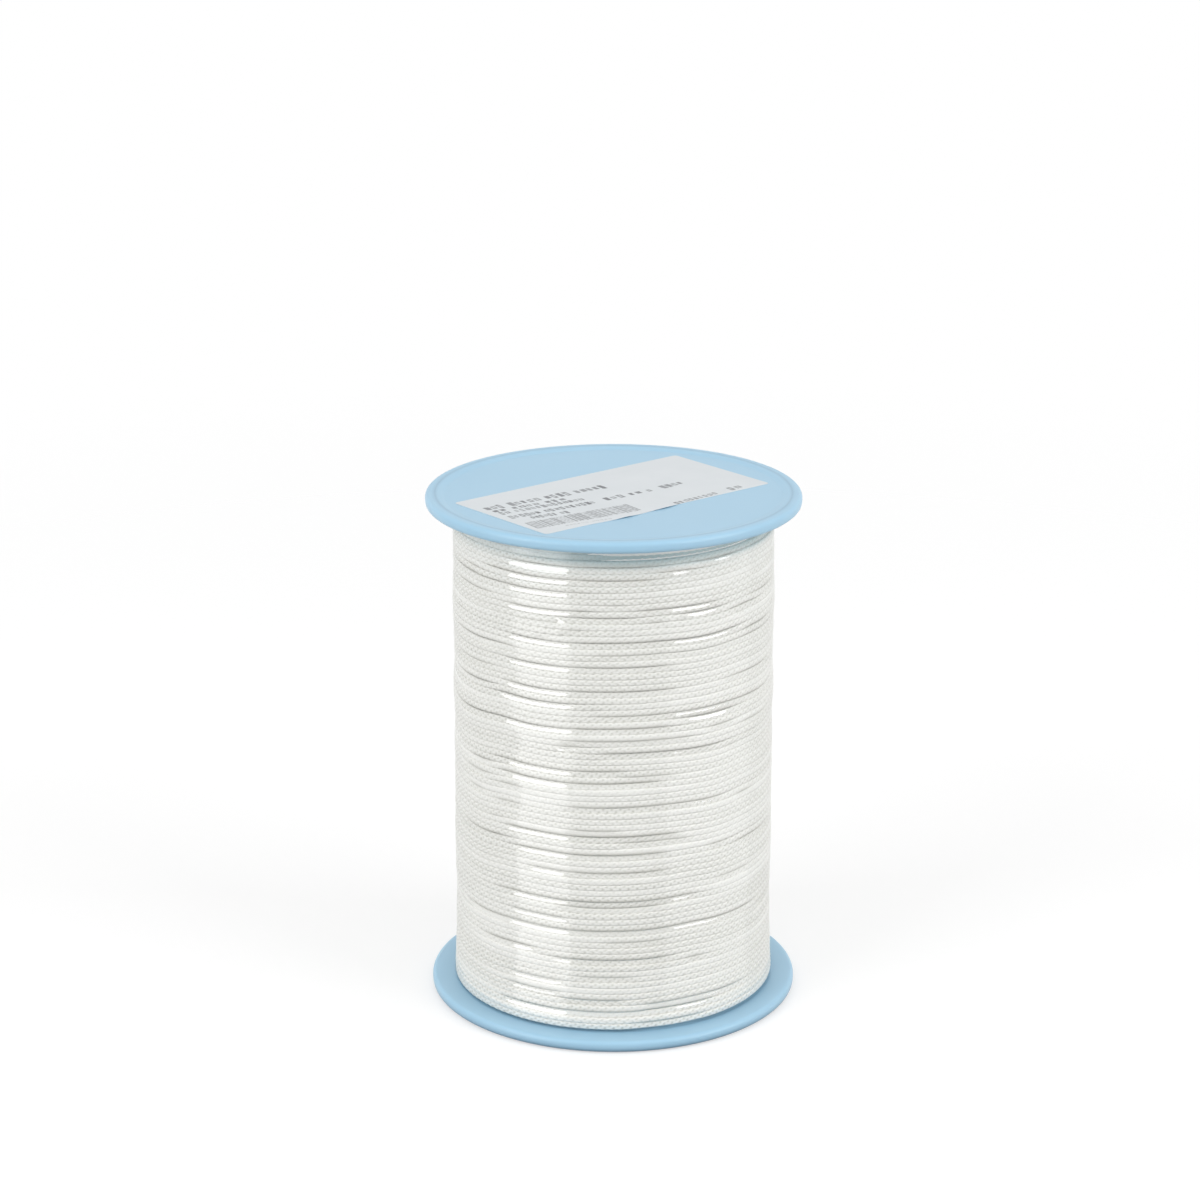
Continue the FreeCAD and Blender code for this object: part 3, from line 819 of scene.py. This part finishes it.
# The row of plain bars: its start and end, half its height, its ink, and the widths and gaps to pick from.
BAR_ROW = (-34.7, -10.2, -5.0, -12.9)
BAR_HALF_HEIGHT = 3.0
BAR_INK = 0.6
BAR_WIDTHS = (0.22, 0.22, 0.44, 0.66)
BAR_GAPS = (0.22, 0.22, 0.44)


def row_places(along, across, ends):
    """Places measured along a row from its start and across it, and the row's length."""
    u0, v0, u1, v1 = ends
    length = math.hypot(u1 - u0, v1 - v0)
    cos, sin = (u1 - u0) / length, (v1 - v0) / length
    x = (along - u0) * cos + (across - v0) * sin
    y = -(along - u0) * sin + (across - v0) * cos
    return x, y, length


def label_print(along, across):
    """Ink over the label's grid: rows of short marks, some of them hollow, and a row of plain bars."""
    ink = np.zeros(along.shape)
    rng = np.random.default_rng(31)
    space = 0.7
    for ends, tall, strength, groups in PRINT_ROWS:
        x, y, length = row_places(along, across, ends)
        cell = length / (sum(groups) + space * (len(groups) - 1))
        start = 0.0
        for group in groups:
            for _ in range(group):
                wide = cell * rng.uniform(0.5, 0.8)
                top = tall * rng.choice([0.5, 0.5, 0.72])
                hollow = rng.random() < 0.6
                inside = (x > start) & (x < start + wide) & (np.abs(y) < top)
                core = (x > start + 0.3 * wide) & (x < start + 0.7 * wide) & (np.abs(y) < 0.55 * top)
                ink[inside] = strength * rng.uniform(0.62, 0.86)
                if hollow:
                    ink[inside & core] = 0.15
                start += cell
            start += space * cell
    x, y, length = row_places(along, across, BAR_ROW)
    start = 0.0
    while start < length:
        wide = rng.choice(BAR_WIDTHS)
        ink[(x > start) & (x < start + wide) & (np.abs(y) < BAR_HALF_HEIGHT)] = BAR_INK
        start += wide + rng.choice(BAR_GAPS)
    return ink


def rounded_corners(along, across):
    """The label's grid with its corners drawn in to rounded ones."""
    half_length, half_width = LABEL_LENGTH / 2 - LABEL_CORNER, LABEL_WIDTH / 2 - LABEL_CORNER
    beyond_u = np.maximum(np.abs(along) - half_length, 0)
    beyond_v = np.maximum(np.abs(across) - half_width, 0)
    square = np.maximum(beyond_u, beyond_v)
    rounded = np.hypot(beyond_u, beyond_v)
    shrink = np.divide(square, rounded, out=np.ones_like(square), where=rounded > 1e-9)
    u = np.sign(along) * (np.minimum(np.abs(along), half_length) + beyond_u * shrink)
    v = np.sign(across) * (np.minimum(np.abs(across), half_width) + beyond_v * shrink)
    return u, v


def sheet_faces(rows, columns):
    """Quads of a thin sheet: its top grid, its underside, and the sides round its border."""
    faces = grid_faces(rows, columns, False, False)[0]
    count = rows * columns
    border = np.concatenate([
        np.arange(rows) * columns,
        (rows - 1) * columns + np.arange(1, columns),
        np.arange(rows - 2, -1, -1) * columns + columns - 1,
        np.arange(columns - 2, 0, -1),
    ])
    following = np.roll(border, -1)
    sides = np.stack([border, following, following + count, border + count], 1)
    return np.concatenate([faces, faces[:, ::-1] + count, sides])[:, ::-1]


def label_piece():
    """The label: a thin sheet on the upper flange, its front edge wavy and lifted in two places."""
    fineness = 1.0
    along = np.linspace(-LABEL_LENGTH / 2, LABEL_LENGTH / 2, round(LABEL_LENGTH / 0.15 * fineness))
    across = np.linspace(-LABEL_WIDTH / 2, LABEL_WIDTH / 2, round(LABEL_WIDTH / 0.25 * fineness))
    along, across = np.meshgrid(along, across, indexing="ij")
    u, v = rounded_corners(along, across)
    near_front = ease(-across, 8, 18)
    v = v - near_front * (np.exp(-((u + 11) / 9) ** 2) + 0.5 * np.exp(-((u - 1) / 3.5) ** 2))
    lifted = 0.22 * near_front * (np.exp(-((u + 12) / 3) ** 2) + np.exp(-((u - 1) / 3.5) ** 2))
    cos, sin = math.cos(LABEL_TURN), math.sin(LABEL_TURN)
    x, y = u * cos - v * sin, LABEL_SHIFT + u * sin + v * cos
    top = np.stack([x, y, LABEL_BASE + LABEL_THICKNESS + lifted], -1).reshape(-1, 3)
    under = np.stack([x, y, LABEL_BASE + 0.01 + lifted], -1).reshape(-1, 3)
    faces = sheet_faces(*along.shape)
    piece = make_mesh("printed_label", np.concatenate([top, under]), faces, PAPER)
    piece.data.set_sharp_from_angle(angle=math.radians(40))
    ink = label_print(along, across).ravel()
    mark_points(piece.data, "ink", np.concatenate([ink, np.zeros(ink.size)]))
    return piece


label = label_piece()
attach(label, "root")
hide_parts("label")


# --- CAD nodes that show as packed ------------------------------------------------------------------

for node, material, slot in (("core_tube", BOARD, "tube_board"), ("cord_start_tape", TAPE, "tape")):
    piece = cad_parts[node]
    piece.data.materials.clear()
    piece.data.materials.append(material)


# --- Stage ----------------------------------------------------------------------------------------

def seen_ray(nodes, links):
    """1 for rays that show the background itself, straight or mirrored or through something clear."""
    path = nodes.new("ShaderNodeLightPath")
    shown = None
    for kind in ("Is Camera Ray", "Is Glossy Ray", "Is Transmission Ray"):
        if shown is None:
            shown = path.outputs[kind]
            continue
        either = nodes.new("ShaderNodeMath")
        either.operation = "MAXIMUM"
        links.new(shown, either.inputs[0])
        links.new(path.outputs[kind], either.inputs[1])
        shown = either.outputs["Value"]
    return shown


def make_floor():
    """A wide pale floor with soft shadows, which fades out far from the reel and lights it a little."""
    material, nodes, links, output = new_material("studio_floor")
    lighting = nodes.new("ShaderNodeBsdfDiffuse")
    lighting.inputs["Color"].default_value = (0.32, 0.32, 0.32, 1)
    shaded = nodes.new("ShaderNodeBsdfDiffuse")
    shaded.inputs["Color"].default_value = (0.55, 0.55, 0.55, 1)
    pale_glow = nodes.new("ShaderNodeEmission")
    pale_glow.inputs["Strength"].default_value = 0.5
    shown = nodes.new("ShaderNodeAddShader")
    clear = nodes.new("ShaderNodeBsdfTransparent")
    clear.inputs["Color"].default_value = (1, 1, 1, 1)
    seen = seen_ray(nodes, links)
    place = nodes.new("ShaderNodeTexCoord")
    away = nodes.new("ShaderNodeVectorMath")
    away.operation = "LENGTH"
    fade = nodes.new("ShaderNodeMapRange")
    fade.interpolation_type = "SMOOTHSTEP"
    fade.inputs["From Min"].default_value = 0.2
    fade.inputs["From Max"].default_value = 0.7
    pale = nodes.new("ShaderNodeMixShader")
    spread = nodes.new("ShaderNodeMixShader")
    links.new(seen, pale.inputs["Fac"])
    links.new(lighting.outputs["BSDF"], pale.inputs[1])
    links.new(shaded.outputs["BSDF"], shown.inputs[0])
    links.new(pale_glow.outputs["Emission"], shown.inputs[1])
    links.new(shown.outputs["Shader"], pale.inputs[2])
    links.new(place.outputs["Object"], away.inputs[0])
    links.new(away.outputs["Value"], fade.inputs["Value"])
    links.new(fade.outputs["Result"], spread.inputs["Fac"])
    links.new(pale.outputs["Shader"], spread.inputs[1])
    links.new(clear.outputs["BSDF"], spread.inputs[2])
    links.new(spread.outputs["Shader"], output.inputs["Surface"])
    half, top = 4, -0.0002
    corners = [(-half, -half, top), (half, -half, top), (half, half, top), (-half, half, top)]
    mesh = bpy.data.meshes.new("floor")
    mesh.from_pydata(corners, [], [(0, 1, 2, 3)])
    mesh.materials.append(material)
    floor = bpy.data.objects.new("floor", mesh)
    bpy.context.scene.collection.objects.link(floor)


def make_world():
    """Soft light from all round, stronger from above and behind, with a white background."""
    world = bpy.data.worlds.new("studio")
    bpy.context.scene.world = world
    world.use_nodes = True
    nodes, links = world.node_tree.nodes, world.node_tree.links
    nodes.clear()
    output = nodes.new("ShaderNodeOutputWorld")
    shown = nodes.new("ShaderNodeBackground")
    shown.inputs["Color"].default_value = (1, 1, 1, 1)
    shown.inputs["Strength"].default_value = 1.0
    ambient = nodes.new("ShaderNodeBackground")
    ambient.inputs["Color"].default_value = (1, 1, 1, 1)
    place = nodes.new("ShaderNodeTexCoord")
    behind = nodes.new("ShaderNodeVectorMath")
    behind.operation = "DOT_PRODUCT"
    behind.inputs[1].default_value = (0.3, 0.45, 0.84)
    ramp = nodes.new("ShaderNodeMapRange")
    ramp.inputs["From Min"].default_value = -0.5
    ramp.inputs["From Max"].default_value = 0.5
    ramp.inputs["To Min"].default_value = 0.475
    ramp.inputs["To Max"].default_value = 0.675
    split = nodes.new("ShaderNodeSeparateXYZ")
    ground = nodes.new("ShaderNodeMapRange")
    ground.inputs["From Min"].default_value = -0.3
    ground.inputs["From Max"].default_value = 0.0
    ground.inputs["To Min"].default_value = 0.45
    ground.inputs["To Max"].default_value = 1.0
    strength = nodes.new("ShaderNodeMath")
    strength.operation = "MULTIPLY"
    mix = nodes.new("ShaderNodeMixShader")
    links.new(place.outputs["Generated"], behind.inputs[0])
    links.new(place.outputs["Generated"], split.inputs["Vector"])
    links.new(split.outputs["Z"], ground.inputs["Value"])
    links.new(behind.outputs["Value"], ramp.inputs["Value"])
    links.new(ramp.outputs["Result"], strength.inputs[0])
    links.new(ground.outputs["Result"], strength.inputs[1])
    links.new(strength.outputs["Value"], ambient.inputs["Strength"])
    links.new(seen_ray(nodes, links), mix.inputs["Fac"])
    links.new(ambient.outputs["Background"], mix.inputs[1])
    links.new(shown.outputs["Background"], mix.inputs[2])
    links.new(mix.outputs["Shader"], output.inputs["Surface"])


def add_softbox(name, azimuth, distance, middle, width, height, power):
    """An upright soft light that faces the reel."""
    light = bpy.data.lights.new(name, "AREA")
    light.shape = "RECTANGLE"
    light.size = width
    light.size_y = height
    light.energy = power
    holder = bpy.data.objects.new(name, light)
    angle = math.radians(azimuth)
    holder.location = (distance * math.sin(angle), -distance * math.cos(angle), middle)
    facing = Vector((-holder.location.x, -holder.location.y, 0))
    holder.rotation_euler = facing.to_track_quat("-Z", "Y").to_euler()
    bpy.context.scene.collection.objects.link(holder)


def add_card(name, first, last, strength):
    """A low card that the film mirrors between two azimuths of its front. It lights nothing else."""
    material, nodes, links, output = new_material(name)
    shine = nodes.new("ShaderNodeAttribute")
    shine.attribute_name = "shine"
    glow = nodes.new("ShaderNodeEmission")
    links.new(shine.outputs["Fac"], glow.inputs["Strength"])
    links.new(glow.outputs["Emission"], output.inputs["Surface"])
    film_radius, near, far, lift = 0.041, 0.012, 0.5, 0.0005
    stations, fade = 9, 1.5
    points = []
    for angle in np.radians(np.linspace(first - fade, last + fade, stations)):
        for reach in (near, far):
            x = film_radius * math.sin(angle) + reach * math.sin(2 * angle)
            y = -film_radius * math.cos(angle) - reach * math.cos(2 * angle)
            points.append((x, y, lift))
    mesh = bpy.data.meshes.new(name)
    mesh.from_pydata(points, [], [(i, i + 1, i + 3, i + 2) for i in range(0, 2 * stations - 2, 2)])
    mesh.materials.append(material)
    mark_points(mesh, "shine", [1.0] * 2 + [strength] * (2 * stations - 4) + [1.0] * 2)
    card = bpy.data.objects.new(name, mesh)
    card.visible_camera = False
    card.visible_diffuse = False
    card.visible_transmission = False
    card.visible_shadow = False
    bpy.context.scene.collection.objects.link(card)


def make_camera():
    """The photograph's camera: it looks down on the reel from the front."""
    data = bpy.data.cameras.new("camera")
    data.lens = 94.2
    data.sensor_width = 36
    camera = bpy.data.objects.new("camera", data)
    camera.location = (0.0, -0.7632, 0.3424)
    target = Vector((-0.00344, 0.0, 0.1040))
    camera.rotation_euler = (target - camera.location).to_track_quat("-Z", "Y").to_euler()
    bpy.context.scene.collection.objects.link(camera)
    bpy.context.scene.camera = camera


make_floor()
make_world()
add_card("card_left", first=-37, last=-16.5, strength=1.75)
add_card("card_right", first=16, last=56, strength=1.35)
add_softbox("softbox_left", azimuth=-54, distance=1.2, middle=0.64, width=0.95, height=1.16, power=10.4)
add_softbox("softbox_right", azimuth=63, distance=1.3, middle=0.67, width=1.0, height=1.0, power=11.0)
make_camera()
bpy.context.scene.view_settings.view_transform = "Standard"
